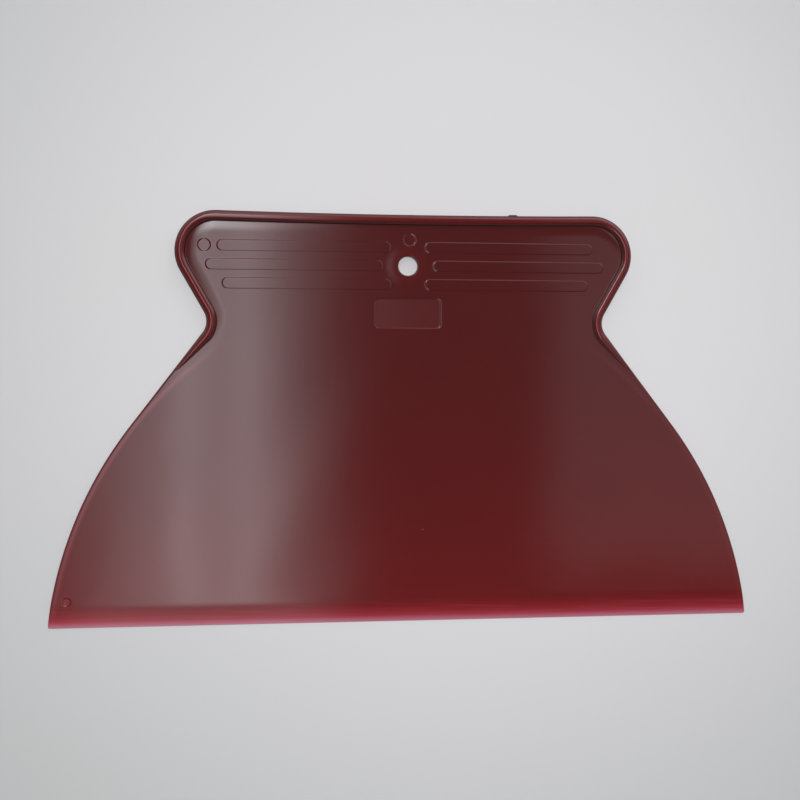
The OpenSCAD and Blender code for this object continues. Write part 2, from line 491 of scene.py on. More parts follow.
# each row: how far in from the outline, how high, and how far the surface leans outwards
front_rows = [np.stack(row) for row in rows]
back_rows = [row * np.array([[1], [-1], [1]]) for row in front_rows[-2::-1]]
loft = np.stack(front_rows + back_rows)
side_sign = np.array([1.0] * len(front_rows) + [-1.0] * len(back_rows))[:, None]
print(len(loft), "rows of", len(edge_p), "points")

# %% [markdown]
# The stub of the gate stands out of the bead as a soft bump. It is a push of the rim's points,
# strongest in the middle of the stub and fading over its torn edges.

# %% Place the rim's points and their normals
STUB_SOFT = 0.4
BEHIND = np.array([1, 1, -1])

count, wide = len(loft), len(edge_p)
inward, height, lean = loft[:, 0], loft[:, 1], loft[:, 2]
stub_along = soft_step(np.abs(edge_p[:, 0] - gate_reach) - gate_w / 2, STUB_SOFT)
stub_push = stub_along * (edge_y > ear_c[1]) * soft_step(np.abs(height) - gate_t / 2, STUB_SOFT)
inward = inward - gate_stub * stub_push * (inward < bead_r)

rim = np.empty((count, wide, 3))
rim[..., :2] = edge_p - inward[..., None] * edge_n
rim[..., 2] = height + edge_mid
rim[0, :, 2] = front_height(rim[0, :, 0], rim[0, :, 1])
rim[-1, :, 2] = -back_height(rim[-1, :, 0], rim[-1, :, 1])

step_along = np.linalg.norm(np.roll(edge_p, -1, 0) - np.roll(edge_p, 1, 0), axis=1)
taper = (np.roll(edge_r, -1) - np.roll(edge_r, 1)) / step_along
forward = np.stack([-edge_n[:, 1], edge_n[:, 0]], axis=1)
rim_n = np.empty_like(rim)
rim_n[..., :2] = np.sin(lean)[..., None] * edge_n
rim_n[..., 2] = np.cos(lean) * side_sign
rim_n[..., :2] -= (taper * (1 - np.clip(np.sin(lean), 0, 1)))[..., None] * forward
rim_n[0] = face_normals(front_height, rim[0, :, 0], rim[0, :, 1])
rim_n[-1] = face_normals(back_height, rim[-1, :, 0], rim[-1, :, 1]) * BEHIND

# on the stub the normals come from the points themselves
along = np.roll(rim, -1, 1) - np.roll(rim, 1, 1)
over = np.gradient(rim, axis=0)
measured = np.cross(along, over)
measured /= np.maximum(np.linalg.norm(measured, axis=-1, keepdims=True), 1e-9)
measured *= np.sign((measured * rim_n).sum(-1, keepdims=True))
on_stub = np.abs(edge_p[:, 0] - gate_reach) < gate_w / 2 + 2 * STUB_SOFT
on_stub &= edge_y > ear_c[1]
rim_n[1:-1, on_stub] = measured[1:-1, on_stub]
print("rim reaches", round(float(rim[..., 1].max()), 2), "mm above the scraping edge")

# %% [markdown]
# ## The two faces
#
# A regular grid would waste points on the plain blade and cut the ribs' round ends into steps.
# Instead each face is a triangulation that has to keep the lines it is given: the inner line of
# the rim, the mouth of the hole, and five nested lines round each detail, which lie side by side
# on its shoulder. Loose points fill the rest. A Delaunay triangulation joins them with the
# best-shaped triangles it can.

# %% Helpers that draw lines round the details
CAP_POINTS = 15
BAR_STEP = 3
QUARTER_POINTS = 9


def bar_loop(near, far, level, width, grow):
    """A closed line round a bar with round ends, moved outwards by grow."""
    radius = width / 2 + grow
    cap = np.array([facing(a) for a in np.linspace(-math.pi / 2, math.pi / 2, CAP_POINTS)])
    right = np.array([far - width / 2, level]) + radius * cap
    left = np.array([near + width / 2, level]) - radius * cap
    along_x = np.linspace(right[-1, 0], left[0, 0], round((far - near) / BAR_STEP))[1:-1]
    top = np.stack([along_x, np.full(len(along_x), level + radius)], axis=1)
    bottom = np.stack([along_x[::-1], np.full(len(along_x), level - radius)], axis=1)
    return np.concatenate([right, top, left, bottom])


def disc_loop(centre, radius, points):
    """A closed round line."""
    turns = np.arange(points) * 2 * math.pi / points
    return np.array(centre) + radius * np.stack([np.cos(turns), np.sin(turns)], axis=1)


def plate_loop(centre, width, height, radius, grow):
    """A closed line round a rectangle with rounded corners, moved outwards by grow."""
    quarters = []
    for i, (sx, sy) in enumerate([(1, 1), (-1, 1), (-1, -1), (1, -1)]):
        heart = centre + np.array([sx * (width / 2 - radius), sy * (height / 2 - radius)])
        turns = np.linspace(0, math.pi / 2, QUARTER_POINTS) + i * math.pi / 2
        quarters.append(heart + (radius + grow) * np.stack([np.cos(turns), np.sin(turns)], 1))
    return np.concatenate(quarters)


print("round ends of", CAP_POINTS, "points, rounded corners of", QUARTER_POINTS)

# %% Lines round the details
NESTS = (-1, -0.5, 0, 0.5, 1)
MARK_POINTS = 40
HOLE_POINTS = 96

front_lines = [plate_loop(label_c, label_w, label_h, label_r, k * LABEL_SOFT) for k in NESTS]
for centre, radius in marks:
    front_lines += [disc_loop(centre, radius + k * MARK_SOFT, MARK_POINTS) for k in NESTS]
for near, far, level in ribs:
    for k in NESTS:
        bar = bar_loop(near, far, level, rib_w, k * RIB_SOFT)
        front_lines += [bar, bar * mirror]
hole_mouth = disc_loop(hole_c, hole_r + hole_round, HOLE_POINTS)
print(len(front_lines), "lines on the front face")

# %% Helpers for the loose points
FIELD_FROM = lip_h + 6


def apart_from_details(p):
    """Distance of points from the nearest border of a detail of the front face."""
    x, y = p.T
    nearest = np.abs(from_plate(x, y, label_c, label_w, label_h, label_r))
    for near, far, level in ribs:
        bar = np.abs(from_bar(np.abs(x), y, near, far, level, rib_w))
        nearest = np.minimum(nearest, bar)
    for centre, radius in marks:
        nearest = np.minimum(nearest, np.abs(from_disc(x, y, centre, radius)))
    return nearest


def within(loop, p):
    """True for the points that a closed line goes round, by counting how often it passes them."""
    after = np.roll(loop, -1, 0)
    passed = np.zeros(len(p), int)
    for (x0, y0), (x1, y1) in zip(loop, after):
        rows = (p[:, 1] < y0) != (p[:, 1] < y1)
        at = x0 + (p[:, 1] - y0) * (x1 - x0) / (y1 - y0 if y1 != y0 else 1)
        passed += rows & (p[:, 0] < at)
    return passed % 2 == 1


def honeycomb(step):
    """Points of a honeycomb grid over the whole tool above the lip."""
    lines = np.arange(FIELD_FROM, body_h, step * math.sqrt(3) / 2)
    places = np.arange(-edge_w / 2, edge_w / 2, step)
    grid = [(x + step / 2 * (i % 2), y) for i, y in enumerate(lines) for x in places]
    return np.array(grid)


nearest = apart_from_details(hole_c[None])[0]
print("the nearest detail lies", round(nearest, 2), "mm from the hole's centre")

# %% [markdown]
# The loose points are of four kinds: an apron of lines that follow the rim, rows along the lip,
# rings round the hole, and a honeycomb over the rest. What would lie too close to the rim or to
# the hole's mouth is dropped, because it would only make slivers. Only the rows along the lip go
# on down to the scraping edge, where the plastic thins fastest.

# %% Loose points of a face
FIELD_STEP = 3.2
APRON = (0.45, 1.0, 1.7, 2.5, 3.5, 4.6)
APRON_SLACK = 0.03
LIP_STEP = 2.5
LIP_ROWS = (0.9, 1.7, 2.6, 3.6, 4.7, 5.8, 6.8, 7.6, 8.4, 9.2, 10.4, 12.0)
# the first ring lies this far outside the hole's wall, and the last one outside the swelling
FIRST_RING = 1.1
LAST_RING = 0.6
RINGS = 7
RING_POINTS = 72
RIM_GAP = 0.4
MOUTH_GAP = 0.3
ROUND_TO = 4

apron = [(edge_p - (inner_in + a)[:, None] * edge_n, inner_in + a) for a in APRON]
apron_p = np.concatenate([p for p, depth in apron])
apron_d = np.concatenate([depth for p, depth in apron])
apron_p = apron_p[edge_distance(*apron_p.T) > apron_d - APRON_SLACK]

lip_x = np.arange(-edge_w / 2, edge_w / 2, LIP_STEP)
lip_p = np.array([(x, y) for y in LIP_ROWS for x in lip_x])
field_p = honeycomb(FIELD_STEP)
loose_p = np.concatenate([field_p, lip_p])
depth = edge_distance(*loose_p.T)
rim_depth = bead_r + 2 * foot_r + APRON[-1]
shallow = np.where(loose_p[:, 1] > run_end[1], rim_depth, web_t / 2 + APRON[-1])
shallow[len(field_p):] = web_t / 2
loose_p = loose_p[depth > shallow + RIM_GAP]
lip_kept = lip_p[np.abs(lip_p[:, 0]) < edge_w / 2 - LIP_STEP]
ring_r = np.linspace(hole_r + FIRST_RING, swell_foot_r + LAST_RING, RINGS)
rings = np.concatenate([disc_loop(hole_c, r, RING_POINTS) for r in ring_r])
loose_p = np.round(np.concatenate([loose_p, apron_p, lip_kept, rings]), ROUND_TO)
loose_p = np.unique(loose_p, axis=0)
loose_p = loose_p[np.hypot(*(loose_p - hole_c).T) > hole_r + hole_round + MOUTH_GAP]
loose_p = loose_p[within(edge_p, loose_p)]
print(len(loose_p), "loose points")

# %% Triangulate a face
KEEP_OFF = 0.7
SAME_POINT = 1e-5
INSIDE_RING = 1


def triangulate(lines, loose):
    """Joins the rim's inner line, the hole's mouth, more lines and loose points into triangles."""
    outer = rim[0, :, :2]
    loops = [outer, hole_mouth] + lines
    points = np.concatenate(loops + [loose])
    edges, start = [], 0
    for loop in loops:
        n = len(loop)
        edges += [(start + i, start + (i + 1) % n) for i in range(n)]
        start += n
    ring = list(range(len(outer)))
    flat = [Vector(p) for p in points]
    found = delaunay_2d_cdt(flat, edges, [ring], INSIDE_RING, SAME_POINT, True)
    made, triangles, origins = found[0], found[2], found[3]
    exact = np.array([points[ids[0]] if ids else made[i] for i, ids in enumerate(origins)])
    triangles = np.array(triangles)
    middle = exact[triangles].mean(axis=1)
    kept = within(outer, middle) & ~within(hole_mouth, middle)
    return exact, triangles[kept]


front_xy, front_tri = triangulate(front_lines, loose_p[apart_from_details(loose_p) > KEEP_OFF])
back_xy, back_tri = triangulate([], loose_p)
print(len(front_tri), "triangles in front,", len(back_tri), "behind")

# %% [markdown]
# ## How much light comes through
#
# Thin plastic lets light through and looks red or pink, thick plastic looks nearly brown. So
# each point of the skin keeps how thick the plastic is there, and the finish reads it later; on
# the rim that value also carries painted light and shade.
# Light also creeps in through the wall of the hole; that light is painted in, as the plastic
# there counts as thinner than it is. A second value says how matt the skin is: the floor of the
# label place was left matt in the mould, and the outer flank of the rim is duller still. A third
# one marks the plain sides of the blade, where light comes in through the edge and is painted
# in as a pale line.

# %% Thickness with painted light, mattness and painted side light at every point
RIB_SHARE = 0.2
HOLE_GLOW = 0.45
HOLE_REACH = 3.2
# the painted pale line of light lies this far inside the plain sides, and is weaker on the right
GLOW_AT = 1.5
GLOW_WIDTH = 0.75
GLOW_RIGHT = 0.2
# between these two heights it grows from this share to its full strength
GLOW_RISE = (5.0, 35.0)
GLOW_BELOW = 0.5


def clear_wall(x, y):
    """Thickness of the web in mm as the light meets it: a rib adds a fifth of its height."""
    from_hole = from_disc(x, y, hole_c, hole_r) / HOLE_REACH
    wall = 2 * web_half(y) - bevel(y) + RIB_SHARE * raised(x, y) - sunk(x, y)
    # painted light: near the hole the plastic counts as thinner, for the light that creeps in
    # through its wall
    return wall - HOLE_GLOW * np.exp(-(from_hole**2))


def side_glow(x, y):
    """Painted light: 1 along the plain sides, where light comes in, less on the right and near the
    corner.
    """
    from_side = flare_r - np.hypot(np.abs(x) - bow_c[0], y - bow_c[1])
    glow = np.exp(-(((from_side - GLOW_AT) / GLOW_WIDTH) ** 2)) * (1 - beaded(y)) ** 2
    glow *= np.interp(y, GLOW_RISE, (GLOW_BELOW, 1))
    return glow * np.where(x > 0, GLOW_RIGHT, 1)


def matt_floor(x, y):
    """1 on the floor of the label place."""
    return soft_step(from_plate(x, y, label_c, label_w, label_h, label_r), LABEL_SOFT)


seen_wall = [round(float(clear_wall(0.0, y)), 2) for y in (0.0, lip_h, body_h / 2)]
print("plastic at the edge, where the lip ends and half way up:", seen_wall, "mm")

# %% Helpers that gather the skin
skin_p, skin_n, skin_wall, skin_matt, skin_glow, skin_faces = [], [], [], [], [], []


def add_part(points, normals, wall, matt, faces):
    """Adds points and faces to the skin, each face turned so that it looks the right way."""
    start = sum(len(p) for p in skin_p)
    a, b, c = (points[faces[:, k]] for k in range(3))
    looks = (np.cross(b - a, c - a) * normals[faces].mean(axis=1)).sum(axis=1)
    turned = np.where((looks < 0)[:, None], faces[:, ::-1], faces)
    skin_p.append(points)
    skin_n.append(normals)
    skin_wall.append(np.broadcast_to(wall, len(points)))
    skin_matt.append(np.broadcast_to(matt, len(points)))
    skin_glow.append(side_glow(points[:, 0], points[:, 1]))
    skin_faces.extend((turned + start).tolist())


def grid_faces(lines, across):
    """Four-sided faces between the lines of a closed loft."""
    i, j = np.meshgrid(np.arange(lines - 1), np.arange(across), indexing="ij")
    k = (j + 1) % across
    corners = [i * across + j, i * across + k, (i + 1) * across + k, (i + 1) * across + j]
    return np.stack(corners, axis=-1).reshape(-1, 4)


# %% The front and the back
x, y = front_xy.T
front_p = np.stack([x, y, front_height(x, y)], axis=1)
front_n = face_normals(front_height, x, y)
add_part(front_p, front_n, clear_wall(x, y), matt_floor(x, y), front_tri)

x, y = back_xy.T
back_p = np.stack([x, y, -back_height(x, y)], axis=1)
back_n = face_normals(back_height, x, y) * BEHIND
add_part(back_p, back_n, clear_wall(x, y), 0.0, back_tri)
print(len(skin_faces), "faces in front and behind")

# %% [markdown]
# The bead's crest is painted redder than its thickness would make it: painted light, for the
# light it takes in from both sides. Its outer flank and its foot are painted dark as shade, and
# so is the outer flank of the plain sides down to half the lip's height. Where the two halves of
# the mould met, the outer flank is also duller than the faces.

# %% The rim's skin
# painted light and shade: a low value paints the crest redder, high ones paint the foot and outer
# flank dark
CREST_LIT_WALL = 1.32
FOOT_SHADE_WALL = 2.75
OUTER_SHADE_WALL = 2.6
OUTER_LEAN = math.pi / 3
FOOT_LEAN = 0.9
FLANK_MATT = 7.0

outer = lean > 0
steep = np.clip(lean / np.where(outer, OUTER_LEAN, -FOOT_LEAN), 0, 1)
# the flank's value is painted shade: the outer flank and the foot are darkened
flank = np.where(outer, OUTER_SHADE_WALL, FOOT_SHADE_WALL)
bead_light_and_shade = CREST_LIT_WALL + (flank - CREST_LIT_WALL) * np.where(outer, steep**1.5, steep**3)
plain_wall_and_shade = 2 * thin_half + (OUTER_SHADE_WALL - 2 * thin_half) * steep**2 * (edge_y > lip_h / 2)
rim_wall_light_and_shade = plain_wall_and_shade + (bead_light_and_shade - plain_wall_and_shade) * full
rim_wall_light_and_shade[[0, -1]] = clear_wall(rim[0, :, 0], rim[0, :, 1])
rim_matt = np.where(outer, FLANK_MATT * steep**2, 0)
add_part(rim.reshape(-1, 3), rim_n.reshape(-1, 3), rim_wall_light_and_shade.ravel(), rim_matt.ravel(),
         grid_faces(count, wide))
print(len(skin_faces), "faces so far")

# %% The wall of the hanging hole, with its two rounded mouths
ROUND_STEPS = 7

out = (hole_mouth - hole_c) / (hole_r + hole_round)
hole_rows, hole_normals = [], []
for face, height_of in ((1, front_height), (-1, back_height)):
    mouth_z = height_of(*hole_mouth.T)
    turns = np.linspace(0, math.pi / 2, ROUND_STEPS)
    for turn in turns[:: face]:
        ring = hole_c + (hole_r + hole_round * (1 - math.sin(turn))) * out
        drop = hole_round * (1 - math.cos(turn))
        hole_rows.append(np.concatenate([ring, face * (mouth_z - drop)[:, None]], axis=1))
        tip = np.full((HOLE_POINTS, 1), face * math.cos(turn))
        hole_normals.append(np.concatenate([-math.sin(turn) * out, tip], axis=1))

hole_p = np.array(hole_rows)
add_part(hole_p.reshape(-1, 3), np.array(hole_normals).reshape(-1, 3), 2 * web_half(hole_c[1]),
         0.0, grid_faces(len(hole_p), HOLE_POINTS))
print("hole", 2 * hole_r, "mm, wall", len(hole_p), "rows")

# %% [markdown]
# ## Lying on the table
#
# The tool rests on its scraping edge and on the bead at the waist, so the grip is tipped up by
# less than a degree. One matrix carries the drawing into that attitude and into metres. The
# camera uses the same matrix later, because it was worked out against the drawing.

# %% The matrix that lays the drawing on the table
prop_y = (waist_c - (waist_r + bead_r) * flare_n)[1]
half_edge = blade_t / 2
rest_a = math.asin(bead_r / math.hypot(prop_y, half_edge)) - math.atan2(half_edge, prop_y)
lay_down = (
    Matrix.Translation((0, 0, half_edge * math.cos(rest_a) * MM))
    @ Matrix.Rotation(rest_a, 4, "X")
    @ Matrix.Scale(MM, 4)
)
print("tipped up by", round(math.degrees(rest_a), 2), "degrees")

# %% Make the mesh
WELD = 0.0005 * MM

mesh = bpy.data.meshes.new("scraper_skin")
mesh.from_pydata(np.concatenate(skin_p).tolist(), [], skin_faces)
for name, values in (("wall", skin_wall), ("matt", skin_matt), ("glow", skin_glow)):
    layer = mesh.attributes.new(name, "FLOAT", "POINT")
    layer.data.foreach_set("value", np.concatenate(values))
layer = mesh.attributes.new("true_normal", "FLOAT_VECTOR", "POINT")
layer.data.foreach_set("vector", np.concatenate(skin_n).ravel())
mesh.transform(lay_down)

# the parts share the points of their seams, so welding them closes the skin
bm = bmesh.new()
bm.from_mesh(mesh)
bmesh.ops.remove_doubles(bm, verts=bm.verts, dist=WELD)
bmesh.ops.dissolve_degenerate(bm, edges=bm.edges, dist=WELD)
open_edges = [e for e in bm.edges if not e.is_manifold]
bm.to_mesh(mesh)
bm.free()
print(len(mesh.polygons), "faces,", len(open_edges), "open edges")

# %% [markdown]
# Normals that are averaged from the triangles would leave faint facets on so glossy a face. The
# exact ones were worked out together with the shapes, and are set on the mesh in their place.
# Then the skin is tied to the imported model: it rides on the only body and stands in for its
# solid.

# %% Give the skin its exact normals
values = np.empty(3 * len(mesh.vertices))
mesh.attributes["true_normal"].data.foreach_get("vector", values)
turn = np.array(Matrix.Rotation(rest_a, 3, "X"))
exact = values.reshape(-1, 3) @ turn.T
exact /= np.linalg.norm(exact, axis=1, keepdims=True)
mesh.attributes.remove(mesh.attributes["true_normal"])
mesh.shade_smooth()
mesh.normals_split_custom_set_from_vertices(exact.tolist())

scraper = bpy.data.objects.new("scraper", mesh)
bpy.context.scene.collection.objects.link(scraper)
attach(scraper, "root")
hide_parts("scraper_body")
print("normals set at", len(exact), "points")

# %% [markdown]
# ## Shader helpers
#
# The finishes are built from nodes. One short function adds a node and wires it, and a few more
# stand for the steps that come back, so that each material reads as a list of what it is made of.

# %% Add a node and wire it


def feed(tree, socket, value):
    """Links a socket from another one, or sets it to a plain value."""
    if isinstance(value, bpy.types.NodeSocket):
        tree.links.new(value, socket)
    else:
        socket.default_value = value


def add(tree, kind, inputs=None, **settings):
    """Adds a node. Each input is either a socket to link from or a plain value."""
    made = tree.nodes.new(kind)
    for name, value in settings.items():
        setattr(made, name, value)
    for key, value in (inputs or {}).items():
        feed(tree, made.inputs[key], value)
    return made


# %% Steps that come back
COLOUR_A, COLOUR_B, COLOUR_OUT = 6, 7, 2


def blend(tree, factor, first, second):
    """Mixes two colours by a factor."""
    inputs = {"Factor": factor, COLOUR_A: first, COLOUR_B: second}
    return add(tree, "ShaderNodeMix", inputs, data_type="RGBA").outputs[COLOUR_OUT]


def sums(tree, operation, first, second=0.0, third=0.0):
    """One step of arithmetic on numbers."""
    values = {0: first, 1: second, 2: third}
    return add(tree, "ShaderNodeMath", values, operation=operation).outputs[0]


def lay_over(tree, mask, share, under, colour):
    """Lays a share of a colour over another one where a mask says so."""
    return blend(tree, sums(tree, "MULTIPLY", mask, share), under, colour)


def mixed(tree, factor, first, second):
    """A number that goes from the first to the second as the factor goes from 0 to 1."""
    return sums(tree, "MULTIPLY_ADD", factor, sums(tree, "SUBTRACT", second, first), first)


def graded(tree, value, start, end, low=0.0, high=1.0, kind="SMOOTHSTEP"):
    """Goes from low, where a value is at start, to high, where it is at end, and no further."""
    inputs = {"Value": value, "From Min": start, "From Max": end, "To Min": low, "To Max": high}
    return add(tree, "ShaderNodeMapRange", inputs, interpolation_type=kind).outputs["Result"]


# %% Make and use a node group


def new_group(name, inputs, outputs):
    """A node group with named number or vector inputs and number outputs."""
    group = bpy.data.node_groups.new(name, "ShaderNodeTree")
    for label, default in inputs.items():
        kind = "NodeSocketVector" if label == "Vector" else "NodeSocketFloat"
        socket = group.interface.new_socket(label, in_out="INPUT", socket_type=kind)
        if kind == "NodeSocketFloat":
            socket.default_value = default
    for label in outputs:
        group.interface.new_socket(label, in_out="OUTPUT", socket_type="NodeSocketFloat")
    return group, group.nodes.new("NodeGroupInput").outputs, group.nodes.new("NodeGroupOutput")


def use_group(tree, group, inputs):
    """Places a node group in a material."""
    return add(tree, "ShaderNodeGroup", inputs, node_tree=group).outputs


# %% [markdown]
# ## Effects shared by the finishes
#
# Both the plastic and the table top are a little cloudy, and both carry a few specks of dust.
# Each effect is a node group with its size and strength as inputs, so the two materials use the
# same group with their own values. Streaks are the plastic's alone, but it has them three times:
# as wear along the lip, and as the marks of two ways of wiping.

# %% Cloudiness
NOISE_MIDDLE = 0.5

clouds, given, result = new_group("clouds", {"Vector": 0, "Size": 0.05, "Strength": 0.5}, ["Cloud"])
frequency = sums(clouds, "DIVIDE", 1.0, given["Size"])
noise = add(clouds, "ShaderNodeTexNoise",
            {"Vector": given["Vector"], "Scale": frequency, "Detail": 3.0, "Roughness": 0.5})
centred = sums(clouds, "SUBTRACT", noise.outputs["Fac"], NOISE_MIDDLE)
clouds.links.new(sums(clouds, "MULTIPLY", centred, given["Strength"]), result.inputs["Cloud"])
print("group", clouds.name)

# %% Specks of dust
SPECK_CORE = 0.4

specks, given, result = new_group(
    "specks", {"Vector": 0, "Spacing": 0.01, "Size": 0.0003, "Share": 0.1}, ["Speck"]
)
frequency = sums(specks, "DIVIDE", 1.0, given["Spacing"])
cells = add(specks, "ShaderNodeTexVoronoi", {"Vector": given["Vector"], "Scale": frequency})
reach = sums(specks, "MULTIPLY", given["Size"], frequency)
near = sums(specks, "DIVIDE", cells.outputs["Distance"], reach)
dot = graded(specks, near, 1.0, SPECK_CORE, kind="LINEAR")
chance = add(specks, "ShaderNodeSeparateColor", {"Color": cells.outputs["Color"]}).outputs[0]
chosen = sums(specks, "LESS_THAN", chance, given["Share"])
specks.links.new(sums(specks, "MULTIPLY", dot, chosen), result.inputs["Speck"])
print("group", specks.name)

# %% Streaks
STREAK_EDGE = 0.12

streaks, given, result = new_group(
    "streaks", {"Vector": 0, "Across": 0.0005, "Along": 0.03, "Lean": 0.0, "Share": 0.4},
    ["Streak"],
)
spin = add(streaks, "ShaderNodeCombineXYZ", {"Z": given["Lean"]}).outputs[0]
turned = add(streaks, "ShaderNodeVectorRotate",
             {"Vector": given["Vector"], "Rotation": spin}, rotation_type="EULER_XYZ")
per_x = sums(streaks, "DIVIDE", 1.0, given["Along"])
per_y = sums(streaks, "DIVIDE", 1.0, given["Across"])
size = add(streaks, "ShaderNodeCombineXYZ", {"X": per_x, "Y": per_y, "Z": per_x}).outputs[0]
drawn = add(streaks, "ShaderNodeVectorMath", {0: turned.outputs[0], 1: size},
            operation="MULTIPLY").outputs[0]
noise = add(streaks, "ShaderNodeTexNoise", {"Vector": drawn, "Scale": 1.0, "Detail": 2.0})
limit = sums(streaks, "SUBTRACT", 1.0, given["Share"])
top = sums(streaks, "ADD", limit, STREAK_EDGE)
mask = graded(streaks, noise.outputs["Fac"], limit, top, kind="LINEAR")
streaks.links.new(mask, result.inputs["Streak"])
print("group", streaks.name)

# %% [markdown]
# ## Burgundy plastic
#
# The base colour follows the thickness: pale pink at the scraping edge, red in the lip, deep
# burgundy in the blade and almost brown in the grip. On the rim, light is painted into the
# bead's crest, which turns redder, and shade into its foot and outer flank, which turn nearly
# black. The surface is glossy with a faint orange-peel grain, fine wiping marks, and a few
# specks. Faint streaks of wear lie along the lip, which is the part that rubs.

# %% The plastic's colour at each thickness
THIN, THICK = 0.4, 3.0
# thickness in mm, and the colour there; the last, darkest step is reached only where the rim is
# painted dark as shade
BURGUNDY = (
    (0.45, (0.620, 0.205, 0.270)),
    (0.58, (0.530, 0.096, 0.145)),
    (0.67, (0.450, 0.046, 0.068)),
    (0.85, (0.345, 0.023, 0.032)),
    (1.12, (0.250, 0.0140, 0.0165)),
    (1.33, (0.171, 0.0113, 0.0113)),
    (1.50, (0.144, 0.0115, 0.0112)),
    (1.66, (0.127, 0.0116, 0.0112)),
    (1.85, (0.113, 0.0116, 0.0112)),
    (2.05, (0.105, 0.0116, 0.0110)),
    (2.20, (0.097, 0.0112, 0.0106)),
    (2.45, (0.073, 0.0085, 0.0081)),
    (2.90, (0.024, 0.0040, 0.0040)),
)

plastic = bpy.data.materials.new("burgundy_plastic")
plastic.use_nodes = True
tree = plastic.node_tree
shader = tree.nodes["Principled BSDF"]
place = add(tree, "ShaderNodeTexCoord").outputs["Object"]
wall = add(tree, "ShaderNodeAttribute", attribute_name="wall").outputs["Fac"]
matt = add(tree, "ShaderNodeAttribute", attribute_name="matt").outputs["Fac"]
glow = add(tree, "ShaderNodeAttribute", attribute_name="glow").outputs["Fac"]

cloud = use_group(tree, clouds, {"Vector": place, "Size": 0.035, "Strength": 0.12})["Cloud"]
uneven = sums(tree, "MULTIPLY_ADD", cloud, wall, wall)
thickness = graded(tree, uneven, THIN, THICK, kind="LINEAR")
ramp = add(tree, "ShaderNodeValToRGB", {"Fac": thickness})
steps = ramp.color_ramp.elements
for at, colour in BURGUNDY[2:]:
    steps.new((at - THIN) / (THICK - THIN))
for step, (at, colour) in zip(steps, BURGUNDY):
    step.position = (at - THIN) / (THICK - THIN)
    step.color = (*colour, 1)
print("plastic with", len(steps), "colour steps")

# %% Painted pale light along the plain sides, worn lip, specks
SIDE_LIGHT_PINK, SIDE_LIGHT_SHARE = (0.55, 0.145, 0.175, 1), 0.30
WORN_PINK, WORN_SHARE = (0.55, 0.22, 0.26, 1), 0.06
DUST_GREY, DUST_SHARE = (0.45, 0.36, 0.34, 1), 0.35
UNWORN_ABOVE, WORN_BELOW = 0.009, 0.006

speck = use_group(tree, specks, {"Vector": place, "Spacing": 0.016, "Size": 0.00035,
                                 "Share": 0.4})["Speck"]
lip_wear = use_group(tree, streaks, {"Vector": place, "Across": 0.0011, "Along": 0.035,
                                     "Lean": 0.02, "Share": 0.48})["Streak"]
over_edge = add(tree, "ShaderNodeSeparateXYZ", {"Vector": place}).outputs["Y"]
on_lip = graded(tree, over_edge, UNWORN_ABOVE, WORN_BELOW, kind="LINEAR")
scuff = sums(tree, "MULTIPLY", lip_wear, on_lip)

# the pale side line is painted light, laid over the plastic's colour
lit = lay_over(tree, glow, SIDE_LIGHT_SHARE, ramp.outputs["Color"], SIDE_LIGHT_PINK)
scuffed = lay_over(tree, scuff, WORN_SHARE, lit, WORN_PINK)
dusty = lay_over(tree, speck, DUST_SHARE, scuffed, DUST_GREY)
tree.links.new(dusty, shader.inputs["Base Color"])
print("the plastic's colour takes", len(tree.nodes), "nodes")

# %% Gloss and grain of the plastic
POLISH = 0.085
WIPED_ROUGH = 0.02
CLOUD_ROUGH = 0.25
DULL_ROUGH = 0.10
DUST_ROUGH = 0.08
WIPED_GRAIN = -0.03
DUST_GRAIN = 0.8

wiped = use_group(tree, streaks, {"Vector": place, "Across": 0.0005, "Along": 0.03,
                                  "Lean": 0.5, "Share": 0.4})["Streak"]
wiped_too = use_group(tree, streaks, {"Vector": place, "Across": 0.0004, "Along": 0.022,
                                      "Lean": -0.35, "Share": 0.4})["Streak"]
marks_on = sums(tree, "MAXIMUM", wiped, wiped_too)
rough = sums(tree, "MULTIPLY_ADD", marks_on, WIPED_ROUGH, POLISH)
rough = sums(tree, "MULTIPLY_ADD", cloud, CLOUD_ROUGH, rough)
rough = sums(tree, "MULTIPLY_ADD", matt, DULL_ROUGH, rough)
rough = sums(tree, "MULTIPLY_ADD", sums(tree, "MAXIMUM", scuff, speck), DUST_ROUGH, rough)
tree.links.new(rough, shader.inputs["Roughness"])

peel = add(tree, "ShaderNodeTexNoise", {"Vector": place, "Scale": 700.0, "Detail": 2.0})
grain = sums(tree, "MULTIPLY_ADD", marks_on, WIPED_GRAIN, peel.outputs["Fac"])
grain = sums(tree, "MULTIPLY_ADD", speck, DUST_GRAIN, grain)
bump = add(tree, "ShaderNodeBump", {"Height": grain, "Strength": 0.3, "Distance": 0.00001})
tree.links.new(bump.outputs["Normal"], shader.inputs["Normal"])
shader.inputs["IOR"].default_value = 1.49
mesh.materials.append(plastic)
print("the whole finish takes", len(tree.nodes), "nodes")

# %% [markdown]
# ## The table
#
# A plain pale table top, so large that its edge is far away in every view. It takes the same
# clouds and specks as the plastic, with its own values, and a pool of light is painted into its
# colour.

# %% Table top
TABLE_HALF = 4.0

top_mesh = bpy.data.meshes.new("table_top")
bm = bmesh.new()
bmesh.ops.create_grid(bm, x_segments=8, y_segments=8, size=TABLE_HALF)
bm.to_mesh(top_mesh)
bm.free()
table = bpy.data.objects.new("table_top", top_mesh)
bpy.context.scene.collection.objects.link(table)
print("table top", 2 * TABLE_HALF, "m wide")

# %% [markdown]
# In the photograph the table is bright right up to the tool, even inside the hanging hole. So a
# part of its brightness is given to what the camera sees, directly, in a reflection or through
# something clear, and the rest comes from the lamps. The shadow stays, but only as faint as it
# is there.

